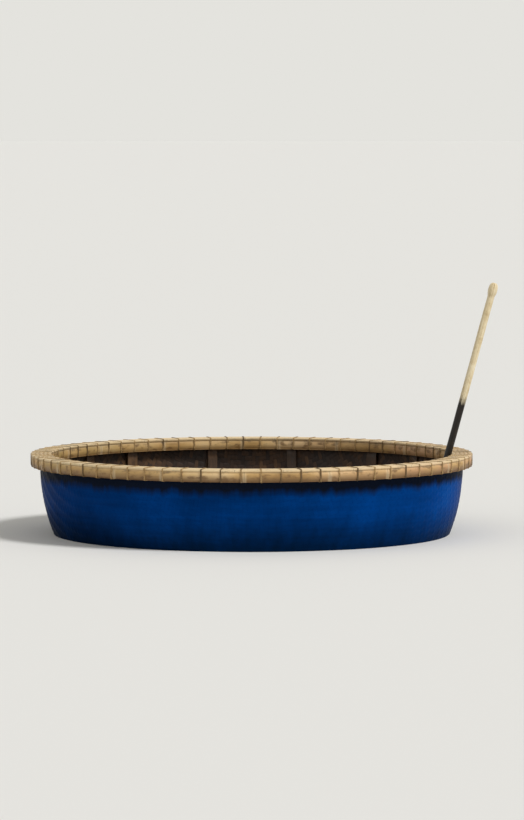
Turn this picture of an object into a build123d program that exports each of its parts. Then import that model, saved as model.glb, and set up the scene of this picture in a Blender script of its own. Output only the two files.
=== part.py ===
from build123d import *
import os
from math import acos, atan2, cos, degrees, hypot, radians, sin, sqrt, tan

# Round basket boat: a bowl-shaped woven skin, a laced rim of split bamboo hoops, crossed bamboo
# ribs, a thwart plank on two poles, and a paddle stowed leaning on the rim.
# Millimetres. +Z is up, +X is the paddle's side, and the origin is the middle of the flat sole.

# Skin: flat sole, bottom arc, bilge arc, wall arc that ends upright, and an upright seat for the rim.
# A slope is the angle between the profile and the ground. Each arc is drawn with a few flats.
sole_radius = 310.0
bottom_arc_radius = 1300.0
bottom_end_slope = 17.0
bottom_flat_count = 2
bilge_arc_radius = 260.0
bilge_end_slope = 68.0
bilge_flat_count = 5
wall_flat_count = 2
rim_seat_height = 503.0
skin_thickness = 9.0

# Rim: a hoop of packed split bamboo on each side of the skin, and flat splints on top
hoop_thickness = 38.4
hoop_height = 42.0
hoop_rise = 2.0
skin_top_drop = 6.0
splint_count = 5
splint_thickness = 9.0
splint_gap = 1.5
scarf_length = 60.0
scarf_gap = 0.6
scarf_turn = 77.0

# Lashings round the rim
lashing_count = 72
lashing_width = 12.0
lashing_thickness = 2.4
lashing_start = 2.5

# Ribs: split bamboo laths in two crossed layers
rib_width = 42.0
rib_thickness = 8.0
rib_count = 4
rib_spacing = 360.0

# Thwart
thwart_centre = 140.0
thwart_width = 220.0
thwart_thickness = 25.0
thwart_end_gap = 2.0
pole_radius = 20.0
pole_height = 305.0
thwart_lashing_reach = 610.0
thwart_lashing_width = 26.0
thwart_lashing_thickness = 3.0

# Paddle
paddle_length = 1250.0
shaft_radius = 15.0
knob_radius = 20.0
knob_top_radius = 9.0
knob_length = 60.0
blade_length = 430.0
blade_width = 125.0
blade_thickness = 12.0
blade_edge_thickness = 6.0
blade_tip_length = 75.0
blade_neck_length = 48.0
blade_neck_width = 27.0
blade_shoulder_length = 62.0
slot_overlap = 130.0
paddle_side = -85.0
binding_drops = (38.0, 16.0)
binding_width = 12.0
binding_thickness = 2.2
binding_sides = 16

# Fits
lay_gap = 0.2
fit_gap = 0.3
tip_gap = 0.9


def profile_arcs():
    """Centre, radius, first and last slope and flats of each arc, on the outside of the skin."""
    slopes = (0.0, bottom_end_slope, bilge_end_slope, 90.0)
    low = (sole_radius, bottom_arc_radius)
    middle = next_centre(low, bottom_arc_radius - bilge_arc_radius, slopes[1])
    turn = radians(slopes[2])
    wall_radius = bilge_arc_radius + (rim_seat_height - middle[1]) / cos(turn)
    high = next_centre(middle, bilge_arc_radius - wall_radius, slopes[2])
    return (
        (low, bottom_arc_radius, slopes[0], slopes[1], bottom_flat_count),
        (middle, bilge_arc_radius, slopes[1], slopes[2], bilge_flat_count),
        (high, wall_radius, slopes[2], slopes[3], wall_flat_count),
    )


def next_centre(centre, step, slope):
    """The centre of the arc that carries on from one whose radius is larger by step, at that slope."""
    turn = radians(slope)
    return (centre[0] + step * sin(turn), centre[1] - step * cos(turn))


def profile_points(offset):
    """The corners of the profile from the sole's edge to the rim's seat, moved in by offset."""
    points = []
    for (x, z), radius, start, end, flats in profile_arcs():
        reach = radius - offset
        turns = [radians(start + (end - start) * i / flats) for i in range(flats + 1)]
        points += [(x + reach * sin(turn), 0, z - reach * cos(turn)) for turn in turns[:-1]]
    points.append((x + reach * sin(turns[-1]), 0, z - reach * cos(turns[-1])))
    return points


def half_profile(offset):
    """The profile from the axis out along the sole, up the wall and on to the skin's top."""
    points = profile_points(offset)
    return [(0, 0, offset), *points, (points[-1][0], 0, skin_top_height)]


def bowl_layer(near, far):
    """A layer of the bowl between two offsets from the skin's outside."""
    return turned(half_profile(near) + half_profile(far)[::-1])


def bowl_inside(offset):
    """All the space inside the bowl, kept clear of the skin's outside by offset."""
    return turned(half_profile(offset) + [(0, 0, skin_top_height)])


def turned(corners):
    """A solid turned round the boat's axis from the corners of its section."""
    return revolve(Face(Wire.make_polygon(corners, close=True)), Axis.Z)


def hoop(inner, outer, bottom, top, place):
    """A hoop with a slanting joint where its two ends meet, at the angle place round the rim."""
    solid = turned([(inner, 0, bottom), (outer, 0, bottom), (outer, 0, top), (inner, 0, top)])
    slant = degrees(atan2(outer - inner, scarf_length))
    joint = Rot(0, 0, 90 + slant) * Box(2 * scarf_length, scarf_gap, 3 * hoop_height)
    return solid - Rot(0, 0, place) * Pos((inner + outer) / 2, 0, skin_top_height) * joint


# Radii and heights that follow from the sizes above
hoop_bottom = rim_seat_height + hoop_rise
hoop_top = hoop_bottom + hoop_height
skin_top_height = hoop_top - skin_top_drop
skin_outside = profile_points(0)[-1][0]
skin_inside = skin_outside - skin_thickness
rim_outside = skin_outside + fit_gap + hoop_thickness
rim_inside = skin_inside - fit_gap - hoop_thickness
splint_bottom = hoop_top + fit_gap
rim_top = splint_bottom + splint_thickness
rib_top = hoop_bottom - 2 * fit_gap - lashing_thickness
rib_pitch = rib_thickness + lay_gap
ribs_inside = skin_thickness + 2 * rib_pitch
thwart_bottom = pole_height + pole_radius + lay_gap


def make_rim():
    """The hoops and splints of the rim, by node name."""
    nodes = {
        "rim_outer_hoop": hoop(skin_outside + fit_gap, rim_outside, hoop_bottom, hoop_top, scarf_turn),
        "rim_inner_hoop": hoop(rim_inside, skin_inside - fit_gap, hoop_bottom, hoop_top, -scarf_turn),
    }
    pitch = (rim_outside - rim_inside + splint_gap) / splint_count
    for i in range(splint_count):
        low = rim_inside + i * pitch
        nodes[f"rim_splint_{i + 1}"] = hoop(
            low, low + pitch - splint_gap, splint_bottom, rim_top, scarf_turn * (i + 2)
        )
    return nodes


def make_lashings():
    """Flat cord turns that go over the rim and end at the skin on both sides of it."""
    section = round_rim(fit_gap + lashing_thickness) + round_rim(fit_gap)[::-1]
    loop = extrude(Face(Wire.make_polygon(section, close=True)), lashing_width / 2, both=True)
    step = 360 / lashing_count
    return Compound(children=[Rot(0, 0, lashing_start + i * step) * loop for i in range(lashing_count)])


def round_rim(clear):
    """The way round the rim, at that clearance, from the outside of the skin over to its inside."""
    outer, inner = rim_outside + clear, rim_inside - clear
    bottom, top = hoop_bottom - clear, rim_top + clear
    start, end = skin_outside + lay_gap, skin_inside - lay_gap
    ways = [(start, bottom), (outer, bottom), (outer, top), (inner, top), (inner, bottom), (end, bottom)]
    return [(x, 0, z) for x, z in ways]


def make_ribs():
    """Laths cut from two thin layers of the bowl: the first lies on the skin, the second crosses it."""
    near = skin_thickness + lay_gap
    long_layer = bowl_layer(near, near + rib_thickness)
    cross_layer = bowl_layer(near + rib_pitch, near + rib_pitch + rib_thickness)
    slab = Box(2 * skin_outside, rib_width, 2 * rib_top)
    nodes = {}
    for i in range(rib_count):
        place = (i - (rib_count - 1) / 2) * rib_spacing
        nodes[f"rib_long_{i + 1}"] = long_layer & (Pos(0, place, 0) * slab)
        nodes[f"rib_cross_{i + 1}"] = cross_layer & (Rot(0, 0, 90) * Pos(0, -place, 0) * slab)
    return nodes


def make_thwart():
    """Two poles wedged across the bowl, the plank on them and the cord turns round all three."""
    pole_room = bowl_inside(skin_thickness + fit_gap)
    plank_room = bowl_inside(ribs_inside + thwart_end_gap)
    pole = Rot(0, 90, 0) * Cylinder(pole_radius, 2 * skin_inside)
    plank = Box(2 * skin_outside, thwart_width, thwart_thickness)
    plank_height = thwart_bottom + thwart_thickness / 2
    nodes = {"thwart_plank": (Pos(0, thwart_centre, plank_height) * plank) & plank_room}
    reach = thwart_width / 2 - pole_radius
    for name, side in (("front", thwart_centre - reach), ("back", thwart_centre + reach)):
        nodes[f"thwart_pole_{name}"] = (Pos(0, side, pole_height) * pole) & pole_room
    inner = outline_round_thwart(fit_gap)
    outer = outline_round_thwart(fit_gap + thwart_lashing_thickness)
    loop = extrude(Plane.YZ * (outer - inner), thwart_lashing_width / 2, both=True)
    nodes["thwart_lashings"] = Compound(children=[Pos(x, 0, 0) * loop for x in (-thwart_lashing_reach, thwart_lashing_reach)])
    return nodes


def outline_round_thwart(clear):
    """The outline across the thwart of a cord turn round the plank and both poles, at that clearance."""
    left, right = thwart_centre - thwart_width / 2 - clear, thwart_centre + thwart_width / 2 + clear
    top = thwart_bottom + thwart_thickness + clear
    bend = pole_radius + clear
    bottom = pole_height - bend
    corner = bend * tan(radians(22.5))
    return Face(Wire.make_polygon([
        (left, top), (right, top), (right, bottom + bend - corner), (right - bend + corner, bottom),
        (left + bend - corner, bottom), (left, bottom + bend - corner),
    ], close=True))


def make_paddle():
    """The paddle, built upright with its tip at the origin, then leaned on the rim."""
    slot_start = blade_length - slot_overlap
    knob_start = paddle_length - knob_length
    section = (
        (0, slot_start), (shaft_radius, slot_start), (shaft_radius, knob_start),
        (knob_radius, knob_start + knob_length * 0.4), (knob_radius, knob_start + knob_length * 0.75),
        (knob_top_radius, paddle_length), (0, paddle_length),
    )
    shaft = turned([(r, 0, z) for r, z in section])
    kerf_height = slot_overlap + fit_gap
    kerf = Box(blade_thickness + 2 * fit_gap, 3 * shaft_radius, kerf_height)
    shaft -= Pos(0, 0, slot_start + kerf_height / 2) * kerf
    blade = make_blade()
    room = shaft_radius + fit_gap
    cord = RegularPolygon(room + binding_thickness, binding_sides, major_radius=False)
    cord -= RegularPolygon(room, binding_sides, major_radius=False)
    bound = extrude(cord, binding_width / 2, both=True)
    bindings = Compound(children=[Pos(0, 0, blade_length - drop) * bound for drop in binding_drops])
    place = lean_on_rim()
    return {"paddle_shaft": place * shaft, "paddle_blade": place * blade, "paddle_bindings": place * bindings}


def make_blade():
    """A flat board with a round tip and sloping shoulders, thinner at its edges than along its middle."""
    half, neck = blade_width / 2, blade_neck_width / 2
    neck_start = blade_length - blade_neck_length
    shoulder = neck_start - blade_shoulder_length
    edges = [
        ThreePointArc((-half, blade_tip_length), (0, 0), (half, blade_tip_length)),
        *Polyline(
            (half, blade_tip_length), (half, shoulder), (neck, neck_start), (neck, blade_length),
            (-neck, blade_length), (-neck, neck_start), (-half, shoulder), (-half, blade_tip_length),
        ).edges(),
    ]
    board = extrude(Plane.YZ * Face(Wire(edges)), blade_thickness / 2, both=True)
    middle, edge = blade_thickness / 2, blade_edge_thickness / 2
    lens = Face(Wire([
        ThreePointArc((edge, -half), (middle, 0), (edge, half)),
        Line((edge, half), (-edge, half)),
        ThreePointArc((-edge, half), (-middle, 0), (-edge, -half)),
        Line((-edge, -half), (edge, -half)),
    ]))
    return board & extrude(lens, blade_length)


def lean_on_rim():
    """Where the paddle stands: tip on the bilge's first bend, shaft against the rim's inner top edge."""
    tip_r, _, tip_z = profile_points(skin_thickness + tip_gap)[bottom_flat_count + 1]
    tip_x = sqrt(tip_r**2 - paddle_side**2)
    stand_off = shaft_radius + fit_gap
    rest_x = sqrt((rim_inside - stand_off) ** 2 - paddle_side**2) + stand_off
    across, rise = rest_x - tip_x, rim_top - tip_z
    lean = acos((stand_off - blade_thickness / 2) / hypot(across, rise)) - atan2(rise, across)
    x = tip_x - blade_thickness / 2 * cos(lean)
    z = tip_z + blade_thickness / 2 * sin(lean)
    return Pos(x, paddle_side, z) * Rot(0, degrees(lean), 0)


def main():
    nodes = {"hull_skin": bowl_layer(0, skin_thickness)}
    nodes.update(make_rim())
    nodes["rim_lashings"] = make_lashings()
    nodes.update(make_ribs())
    nodes.update(make_thwart())
    nodes.update(make_paddle())
    for name, shape in nodes.items():
        export_step(shape, f"parts/{name}.step")
    print("rim across", round(2 * rim_outside), "rim top", round(rim_top, 1), "inside", round(rim_inside, 1))


os.makedirs("parts", exist_ok=True)
main()
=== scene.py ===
from bisect import bisect_left
from functools import partial
from math import atan2, ceil, copysign, cos, hypot, pi, radians, sin, sqrt, tan

import bpy
from mathutils import Matrix, Vector, noise


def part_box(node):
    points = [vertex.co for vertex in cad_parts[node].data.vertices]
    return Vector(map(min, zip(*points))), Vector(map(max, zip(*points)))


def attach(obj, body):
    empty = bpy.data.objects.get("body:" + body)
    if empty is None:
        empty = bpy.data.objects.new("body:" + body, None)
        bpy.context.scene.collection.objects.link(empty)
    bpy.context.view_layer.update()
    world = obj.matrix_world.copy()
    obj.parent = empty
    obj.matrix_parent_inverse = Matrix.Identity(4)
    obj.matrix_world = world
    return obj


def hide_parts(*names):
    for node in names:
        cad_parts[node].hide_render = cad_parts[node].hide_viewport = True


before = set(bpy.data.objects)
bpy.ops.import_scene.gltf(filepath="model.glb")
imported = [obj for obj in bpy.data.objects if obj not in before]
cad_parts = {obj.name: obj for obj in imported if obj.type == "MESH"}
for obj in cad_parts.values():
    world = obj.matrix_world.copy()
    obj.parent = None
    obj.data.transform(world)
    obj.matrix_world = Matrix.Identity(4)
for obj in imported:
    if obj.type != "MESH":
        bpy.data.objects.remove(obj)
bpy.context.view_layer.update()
bpy.ops.object.select_all(action='DESELECT')
noise.seed_set(11)  # without it every run would wander differently
print("loaded the frame:", len(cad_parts), "nodes")

# the woven bowl, in metres; its arcs are the true curves that the solid draws with flats
hull = {
    "soleRadius": 0.310,
    "bottomArcRadius": 1.300,
    "bottomEndSlope": 17.0,
    "bilgeArcRadius": 0.260,
    "bilgeEndSlope": 68.0,
    "seatHeight": 0.503,
    "topHeight": 0.541,
    "thickness": 0.009,
    "unevenness": 0.0032,        # how far the hand-made wall wanders from a true bowl
    "waverScale": 0.30,
    "waverSeed": 5,
    "waverStart": (0.03, 0.14),  # heights between which the wander sets in, and dies out again
    "waverEnd": (0.40, 0.485),
    "stripPitch": 0.021,         # width of one woven strip and its gap
    "stripEdge": 0.12,           # where a strip's edge lines run, as a share of its width
    "paintedRelief": 0.0002,     # how deep a strip dives under its neighbours, outside under the paint
    "tarredRelief": 0.0013,
    "waterline": 0.21,
}


def linear(code):
    # sRGB hex to the linear colour that a shader mixes
    parts = [int(code[i:i + 2], 16) / 255 for i in (1, 3, 5)]
    return [p / 12.92 if p <= 0.04045 else ((p + 0.055) / 1.055) ** 2.4 for p in parts] + [1.0]


def addNode(tree, kind, inputs=(), out=None, stops=None, **settings):
    # adds one node with its settings and ramp stops, links or fixes its inputs, which come by name or
    # in their order, and gives back an output
    node = tree.nodes.new('ShaderNode' + kind)
    for name, value in settings.items():
        setattr(node, name, value)
    if stops:
        ramp = node.color_ramp.elements
        ramp[0].position, ramp[-1].position = stops[0][0], stops[-1][0]
        for place, _ in stops[1:-1]:
            ramp.new(place)
        for element, (_, colour) in zip(ramp, stops):
            element.color = linear(colour)
    sockets = [socket for socket in node.inputs if socket.enabled]
    for name, value in inputs.items() if isinstance(inputs, dict) else enumerate(inputs):
        socket = next(s for i, s in enumerate(sockets) if name in (i, s.name))
        if isinstance(value, bpy.types.NodeSocket):
            tree.links.new(value, socket)
        else:
            socket.default_value = linear(value) if isinstance(value, str) else value
    if out:
        return node.outputs[out]
    return next((s for s in node.outputs if s.enabled), None)


def newMaterial(name):
    # an empty material, and the function that adds nodes to it
    material = bpy.data.materials.new(name)
    material.use_nodes = True
    material.node_tree.nodes.clear()
    return material, partial(addNode, material.node_tree)


def stretched(add, place, scale, detail, roughness=0.5, distortion=0.0):
    # a noise drawn out along an axis, its scale the number of cells in a metre along each
    place = add('Mapping', {'Vector': place, 'Scale': scale})
    return add('TexNoise', {
        'Vector': place, 'Scale': 1.0, 'Detail': detail, 'Roughness': roughness, 'Distortion': distortion})


def coated(add, colour, *coats):
    # each coat goes over the colour in turn, by its share and with its tone
    for share, tone in coats:
        colour = add('Mix', (share, colour, tone), data_type='RGBA')
    return colour


def surfaced(material, add, colour, roughness, height, strength, depth, ior=1.5, gloss=0.5):
    # closes a material with its relief, depth metres deep, and its surface
    bump = add('Bump', {'Height': height, 'Strength': strength, 'Distance': depth})
    shader = add('BsdfPrincipled', {
        'Base Color': colour, 'Roughness': roughness, 'Normal': bump, 'IOR': ior,
        'Specular IOR Level': gloss})
    add('OutputMaterial', {'Surface': shader})
    return material


def enter(mode):
    bpy.ops.object.mode_set(mode=mode)


def selectAll():
    bpy.ops.mesh.select_all(action='SELECT')


def pick(piece, test, kind='VERT'):
    # in edit mode, selects the vertices and faces whose place and normal pass the test, or the edges
    # whose middle and way from end to end do
    bpy.ops.mesh.select_mode(type=kind)
    bpy.ops.mesh.select_all(action='DESELECT')
    enter('OBJECT')
    mesh = piece.data
    if kind == 'VERT':
        for vertex in mesh.vertices:
            vertex.select = test(vertex.co, vertex.normal)
    elif kind == 'EDGE':
        for edge in mesh.edges:
            first, last = (mesh.vertices[i].co for i in edge.vertices)
            edge.select = test((first + last) / 2, last - first)
    else:
        for face in mesh.polygons:
            face.select = test(face.center, face.normal)
    enter('EDIT')


def current(name):
    # names the primitive that was just added, with its place put into its mesh
    piece = bpy.context.object
    if piece.mode == 'EDIT':
        enter('OBJECT')
    piece.name = piece.data.name = name
    bpy.ops.object.transform_apply(location=True, rotation=True, scale=True)
    enter('EDIT')
    return piece


def choose(piece):
    # makes one piece the only selected one, in object mode
    if bpy.context.object and bpy.context.object.mode == 'EDIT':
        enter('OBJECT')
    bpy.ops.object.select_all(action='DESELECT')
    piece.select_set(True)
    bpy.context.view_layer.objects.active = piece


def joined(pieces, name):
    choose(pieces[0])
    for piece in pieces:
        piece.select_set(True)
    bpy.ops.object.join()
    pieces[0].name = pieces[0].data.name = name
    return pieces[0]


def finishWith(piece, kind, **settings):
    # adds a modifier and applies it
    choose(piece)
    modifier = piece.modifiers.new(kind.title(), kind)
    for name, value in settings.items():
        setattr(modifier, name, value)
    bpy.ops.object.modifier_apply(modifier=modifier.name)


def copyOf(piece, name):
    choose(piece)
    bpy.ops.object.duplicate(linked=False)
    copy = bpy.context.object
    copy.name = copy.data.name = name
    return copy


def cutAcross(places, axis):
    # adds a ring of edges round the piece in edit mode at each place along an axis
    direction = [float(i == axis) for i in range(3)]
    for place in places:
        selectAll()
        bpy.ops.mesh.bisect(plane_co=[place * d for d in direction], plane_no=direction)


def sawOff(place, way, fill=False):
    # cuts the whole piece along a plane and drops what lies on the side that the way points to
    selectAll()
    bpy.ops.mesh.bisect(plane_co=place, plane_no=way, clear_outer=True, use_fill=fill)


def drawUp(extrude, low, high, widen):
    # draws what is selected up from one height to another and widens it there
    extrude(TRANSFORM_OT_translate={"value": (0, 0, high - low)})
    bpy.ops.transform.resize(value=(*widen, 1), center_override=(0, 0, high))


def unrolled(turn, seam):
    # the same turn, counted so that it is the nearest one to the seam
    return turn + 2 * pi * round((seam - turn) / (2 * pi))


def waver(piece, amount, scale, seed, weight=None):
    # hand-made wander: every point moves by a smooth noise, as far as its weight lets it
    shift = Vector((seed * 3.7, seed * 1.3, seed * 2.1))
    for vertex in piece.data.vertices:
        much = amount * (weight(vertex.co) if weight else 1.0)
        if much:
            vertex.co += noise.noise_vector(vertex.co / scale + shift) * much


def mapGrain(piece, rule, name='grain'):
    # a UV map in metres from a rule on each corner's place and its face's middle
    mesh = piece.data
    layer = mesh.uv_layers.get(name) or mesh.uv_layers.new(name=name)
    for face in mesh.polygons:
        for loop in face.loop_indices:
            layer.data[loop].uv = rule(mesh.vertices[mesh.loops[loop].vertex_index].co, face.center)


def settle(piece, body, slotName, nodes, material, smooth=35):
    # the finished piece gets its shading, its finish, its body and the nodes that it stands for
    choose(piece)
    bpy.ops.object.transform_apply(location=True, rotation=True, scale=True)
    bpy.ops.object.shade_smooth_by_angle(angle=radians(smooth))
    if not piece.data.materials:
        piece.data.materials.append(material)
    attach(piece, body)
    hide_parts(*nodes)
    piece.select_set(False)


def steps(low, high, spacing):
    # even values from low to high, about that far apart
    count = max(1, round((high - low) / spacing))
    return [low + (high - low) * i / count for i in range(count + 1)]


def smoothStep(value, low, high):
    t = min(1.0, max(0.0, (value - low) / (high - low)))
    return t * t * (3 - 2 * t)


def bowlArcs():
    # centre, radius, first and last slope of the bottom, bilge and wall arcs
    slopes = [0.0, hull["bottomEndSlope"], hull["bilgeEndSlope"], 90.0]
    turns = [radians(slope) for slope in slopes]
    low = (hull["soleRadius"], hull["bottomArcRadius"])
    step = hull["bottomArcRadius"] - hull["bilgeArcRadius"]
    middle = (low[0] + step * sin(turns[1]), low[1] - step * cos(turns[1]))
    wall = hull["bilgeArcRadius"] + (hull["seatHeight"] - middle[1]) / cos(turns[2])
    step = hull["bilgeArcRadius"] - wall
    high = (middle[0] + step * sin(turns[2]), middle[1] - step * cos(turns[2]))
    radii = (hull["bottomArcRadius"], hull["bilgeArcRadius"], wall)
    return list(zip((low, middle, high), radii, turns, turns[1:]))


def bowlProfile(offset, top, spacing):
    # radius and height of each ring of the bowl, from the middle of the sole to its top
    rings = [(radius, offset) for radius in steps(0.04, hull["soleRadius"], spacing * 1.5)]
    for (x, z), radius, start, end in arcs:
        reach = radius - offset
        turns = steps(start, end, spacing / reach)
        rings += [(x + reach * sin(t), z - reach * cos(t)) for t in turns[1:]]
    edge = rings[-1][0]
    rings = [ring for ring in rings if ring[1] < top - 0.004]
    last = edge if top >= hull["seatHeight"] else rings[-1][0] + (top - rings[-1][1]) * 0.02
    return rings + [(last, z) for z in steps(rings[-1][1], top, spacing)[1:]]


def bowlSheet(name, offset, top, segments, spacing):
    # the bowl as one open sheet, drawn out ring by ring from a disc in the middle of the sole
    rings = bowlProfile(offset, top, spacing)
    radius, height = rings[0]
    bpy.ops.mesh.primitive_circle_add(
        vertices=segments, radius=radius, fill_type='TRIFAN', location=(0, 0, height), enter_editmode=True)
    sheet = current(name)
    pick(sheet, lambda middle, _: hypot(middle.x, middle.y) > radius * 0.9, 'EDGE')
    for (r0, z0), (r1, z1) in zip(rings, rings[1:]):
        drawUp(bpy.ops.mesh.extrude_edges_move, z0, z1, (r1 / r0, r1 / r0))
    enter('OBJECT')
    waverWall(sheet)
    return sheet


def waverWall(piece):
    # the wall wanders a little between the flat sole and the true round of the rim's seat
    def weight(place):
        return smoothStep(place.z, *hull["waverStart"]) * (1 - smoothStep(place.z, *hull["waverEnd"]))

    waver(piece, hull["unevenness"], hull["waverScale"], hull["waverSeed"], weight)


arcs = bowlArcs()
skinOutside = arcs[-1][0][0] + arcs[-1][1]
skinInside = skinOutside - hull["thickness"]


def bowlPoint(way):
    # radius and height at a distance along the profile from the middle of the sole
    if way <= hull["soleRadius"]:
        return way, 0.0
    way -= hull["soleRadius"]
    for (x, z), radius, start, end in arcs:
        if way <= radius * (end - start):
            turn = start + way / radius
            return x + radius * sin(turn), z - radius * cos(turn)
        way -= radius * (end - start)
    return skinOutside, hull["seatHeight"] + way


def strandHeight(u, v):
    # two-over two-under twill at a place counted in strips: 0.8 on a crest, 0 where a strip dives
    def lift(across, along, turn):
        side = 2 * (across % 1) - 1
        return sin((along + across // 1) * pi / 2 + turn) - 0.9 * side ** 6

    return max(lift(u, v, 0.0), lift(v, u, pi))


def weaveBowl():
    # the mat is woven flat and pressed into a bowl, so its strips keep crossing at the middle
    pitch, edge = hull["stripPitch"], hull["stripEdge"]
    reach = hull["soleRadius"] + sum(radius * (end - start) for _, radius, start, end in arcs)
    reach += hull["topHeight"] - hull["seatHeight"]
    count = 2 * ceil(reach / pitch + 1)
    bpy.ops.mesh.primitive_grid_add(
        x_subdivisions=2 * count - 1, y_subdivisions=2 * count - 1, size=(2 * count - 1) * pitch / 2,
        enter_editmode=True)
    skin = current('wovenSkin')
    pick(skin, lambda at, _: hypot(at.x, at.y) > reach + 1.2 * pitch)
    bpy.ops.mesh.delete(type='VERT')
    enter('OBJECT')
    for vertex in skin.data.vertices:
        # two lines along each strip, near its edges
        for i in (0, 1):
            line = round(vertex.co[i] / (pitch / 2) - 0.5)
            vertex.co[i] = (line // 2 + (edge if line % 2 == 0 else 1 - edge)) * pitch
    mapGrain(skin, lambda place, _: (place.x, place.y), 'weave')
    for vertex in skin.data.vertices:
        way = hypot(vertex.co.x, vertex.co.y)
        radius, height = bowlPoint(way)
        vertex.co = (vertex.co.x * radius / way, vertex.co.y * radius / way, height)
    enter('EDIT')
    sawOff((0, 0, hull["topHeight"]), (0, 0, 1))
    enter('OBJECT')
    waverWall(skin)
    outsideCount = len(skin.data.vertices)
    finishWith(skin, 'SOLIDIFY', thickness=hull["thickness"], offset=1.0, use_even_offset=True)
    mesh = skin.data
    strands = [(loop.vertex_index, uv.uv) for loop, uv in zip(mesh.loops, mesh.uv_layers['weave'].data)]
    normals = [vertex.normal.copy() for vertex in mesh.vertices]
    for index, (u, v) in dict(strands).items():
        relief = hull["paintedRelief"] if index < outsideCount else hull["tarredRelief"]
        depth = relief * (1 - strandHeight(u / pitch, v / pitch) / 0.8)
        if mesh.vertices[index].co.z < hull["topHeight"] - 0.001:
            mesh.vertices[index].co -= normals[index] * max(0.0, depth)
    return skin


def wovenStrips(add):
    # the mesh's own twill again: its height, a tone for each strip, and the grain along the strips
    place = add('UVMap', uv_map='weave')
    scale = 1 / hull["stripPitch"]
    place = add('Mapping', {'Vector': place, 'Scale': (scale, scale, 1)})
    u = add('SeparateXYZ', (place,), 'X')
    v = u.node.outputs['Y']
    heights, numbers = [], []
    for across, along, turn in ((u, v, 0.0), (v, u, pi)):
        number = add('Math', (across,), operation='FLOOR')
        side = add('Math', (across,), operation='FRACT')
        side = add('Math', (side, 2.0, -1.0), operation='MULTIPLY_ADD')
        side = add('Math', (side, 6.0), operation='POWER')
        lift = add('Math', (along, number), operation='ADD')
        lift = add('Math', (lift, pi / 2, turn), operation='MULTIPLY_ADD')
        lift = add('Math', (lift,), operation='SINE')
        heights.append(add('Math', (side, -0.9, lift), operation='MULTIPLY_ADD'))
        numbers.append(number)
    height = add('Math', heights, operation='MAXIMUM')
    height = add('MapRange', (height, -0.6))
    warpOnTop = add('Math', heights, operation='GREATER_THAN')
    weftNumber = add('Math', (numbers[1], 400.5), operation='ADD')
    number = add('Mix', (warpOnTop, weftNumber, numbers[0]))
    tone = add('TexWhiteNoise', {'W': number}, 'Value', noise_dimensions='1D')
    across = add('Mix', (warpOnTop, v, u))
    along = add('Mix', (warpOnTop, u, v))
    along = add('Math', (along, 0.12), operation='MULTIPLY')
    fibre = add('CombineXYZ', (across, along, number))
    grain = add('TexNoise', {'Vector': fibre, 'Scale': 4.0, 'Detail': 2.0})
    return height, tone, grain


def enamelOnWeave():
    # blue boat enamel brushed thick over woven bamboo, its gloss held low because a pale room would veil
    # the blue: the strips show through as low ribs, with brushed patches and runs, and chips lower down
    material, add = newMaterial('blueEnamelOnWovenBamboo')
    height, tone, _ = wovenStrips(add)
    place = add('TexCoord', out='Object')
    up = add('SeparateXYZ', (place,), 'Z')
    # this place in the pattern puts the paler patches where the real hull has them
    patches = add('Mapping', {'Vector': place, 'Location': (5.2, 3.64, 9.88)})
    patches = add('TexNoise', {'Vector': patches, 'Scale': 2.6, 'Detail': 3.0})
    runs = stretched(add, place, (26, 26, 1.6), 3.0)
    strokes = stretched(add, place, (3, 3, 70), 2.0)
    shade = add('Mix', (0.08, patches, runs))
    shade = add('Mix', (0.18, shade, strokes))
    shade = add('Math', (tone, 0.035, shade), operation='MULTIPLY_ADD')
    # the +X side is painted brighter: partly blue faded by the sun, partly painted light standing in for
    # light falling from that side
    shade = add('Math', (up.node.outputs['X'], 0.17, shade), operation='MULTIPLY_ADD')
    colour = add('ValToRGB', (shade,), stops=[
        (0.26, '#002555'), (0.45, '#00316D'), (0.61, '#003C84'), (0.80, '#004997')])
    # the paint pools darker between the strips
    low = add('MapRange', (height, 0.0, 0.5, 0.33, 0.0))
    # a dark band two fingers wide under the rim, partly tar and grime and partly a painted shadow cast by the
    # rim; and a darkening towards the water, partly a wet stain and partly painted shade on the lower hull
    # that faces away from the light
    ragged = add('Math', (runs, 0.06, up), operation='MULTIPLY_ADD')
    top = add('MapRange', (ragged, 0.470, 0.504, 0.0, 0.93))
    stain = add('MapRange', (ragged, 0.39, 0.245, 0.0, 0.8))
    # below the water the paint is dull, filmed with mud and worn to the tar on the crests
    sunk = add('MapRange', (ragged, 0.24, 0.17))
    mud = add('TexNoise', {'Vector': place, 'Scale': 14.0, 'Detail': 6.0, 'Roughness': 0.7})
    mud = add('MapRange', (mud, 0.46, 0.66, 0.0, 0.6))
    mud = add('Math', (mud, sunk), operation='MULTIPLY')
    chip = add('TexNoise', {'Vector': place, 'Scale': 38.0, 'Detail': 4.0, 'Roughness': 0.75})
    chip = add('Math', (height, 0.16, chip), operation='MULTIPLY_ADD')
    level = add('MapRange', (up, 0.0, 0.22, 0.70, 0.90))
    chip = add('Math', (chip, level), operation='GREATER_THAN')
    colour = coated(add, colour, (low, '#021B40'), (top, '#13161B'), (stain, '#03131F'), (mud, '#3B3A2C'),
                    (chip, '#4B3B29'))
    rough = add('MapRange', (patches, 0.0, 1.0, 0.26, 0.46))
    rough = add('Mix', (sunk, rough, 0.75))
    relief = add('Math', (strokes, 0.18, height), operation='MULTIPLY_ADD')
    return surfaced(material, add, colour, rough, relief, 0.5, 0.0007, gloss=0.006)


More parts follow.
